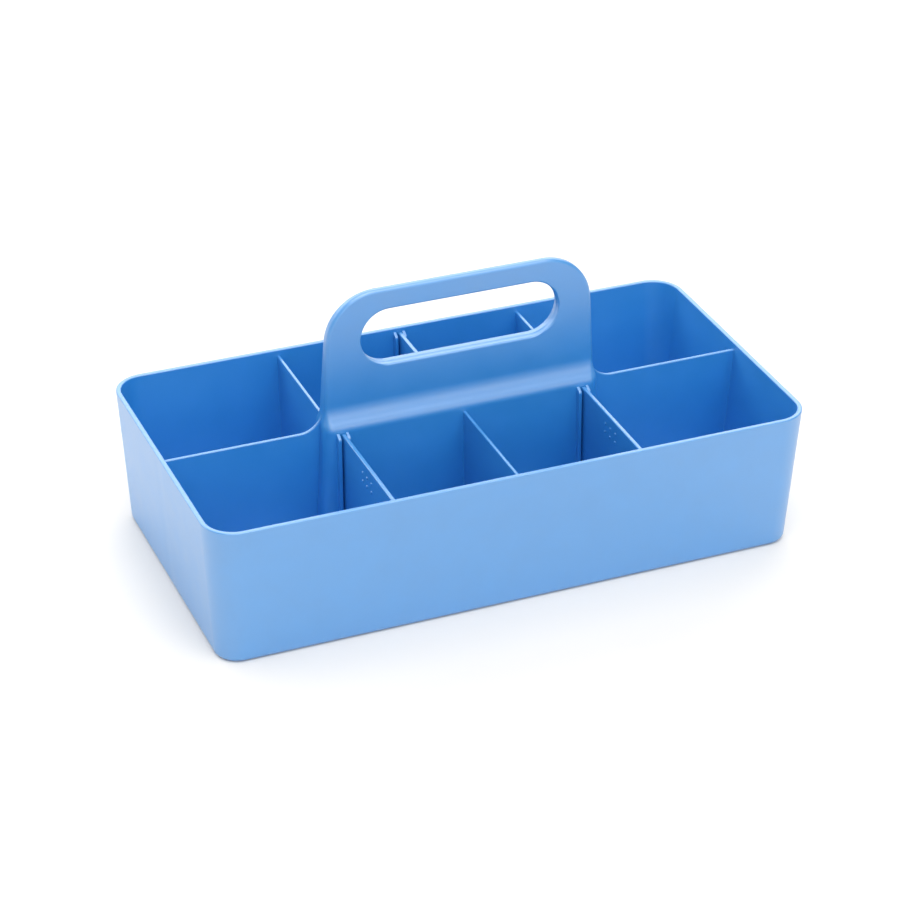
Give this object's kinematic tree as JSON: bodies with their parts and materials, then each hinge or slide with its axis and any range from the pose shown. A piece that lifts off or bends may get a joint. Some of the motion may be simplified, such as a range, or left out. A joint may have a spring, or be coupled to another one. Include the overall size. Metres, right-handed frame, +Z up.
{
  "type": "cleaning caddy",
  "caption": "Rectangular open-top plastic carry caddy with a tall centre handle, fixed partitions and lift-out cross dividers held between guide ribs.",
  "frame": {"origin": "centre of the underside, on the surface that the tub stands on", "axes": "+X along the tub's length and the handle, +Y across to the row with one lift-out divider, +Z up"},
  "size_m": [0.4, 0.2086, 0.1836],
  "materials": {
    "tub_plastic": "satin injection-moulded polypropylene",
    "divider_plastic": "satin injection-moulded polypropylene"
  },
  "bodies": {
    "tub": {"tub_with_handle": "tub_plastic"},
    "front_left": {"divider_front_left": "divider_plastic"},
    "front_right": {"divider_front_right": "divider_plastic"},
    "rear_center": {"divider_rear_center": "divider_plastic"}
  },
  "joints": [
    {"name": "lift_front_left", "type": "slide", "parent": "tub", "child": "front_left", "axis": [0, 0, 1], "range_m": [0, 0.1]},
    {"name": "lift_front_right", "type": "slide", "parent": "tub", "child": "front_right", "axis": [0, 0, 1], "range_m": [0, 0.1]},
    {"name": "lift_rear_center", "type": "slide", "parent": "tub", "child": "rear_center", "axis": [0, 0, 1], "range_m": [0, 0.1]}
  ]
}
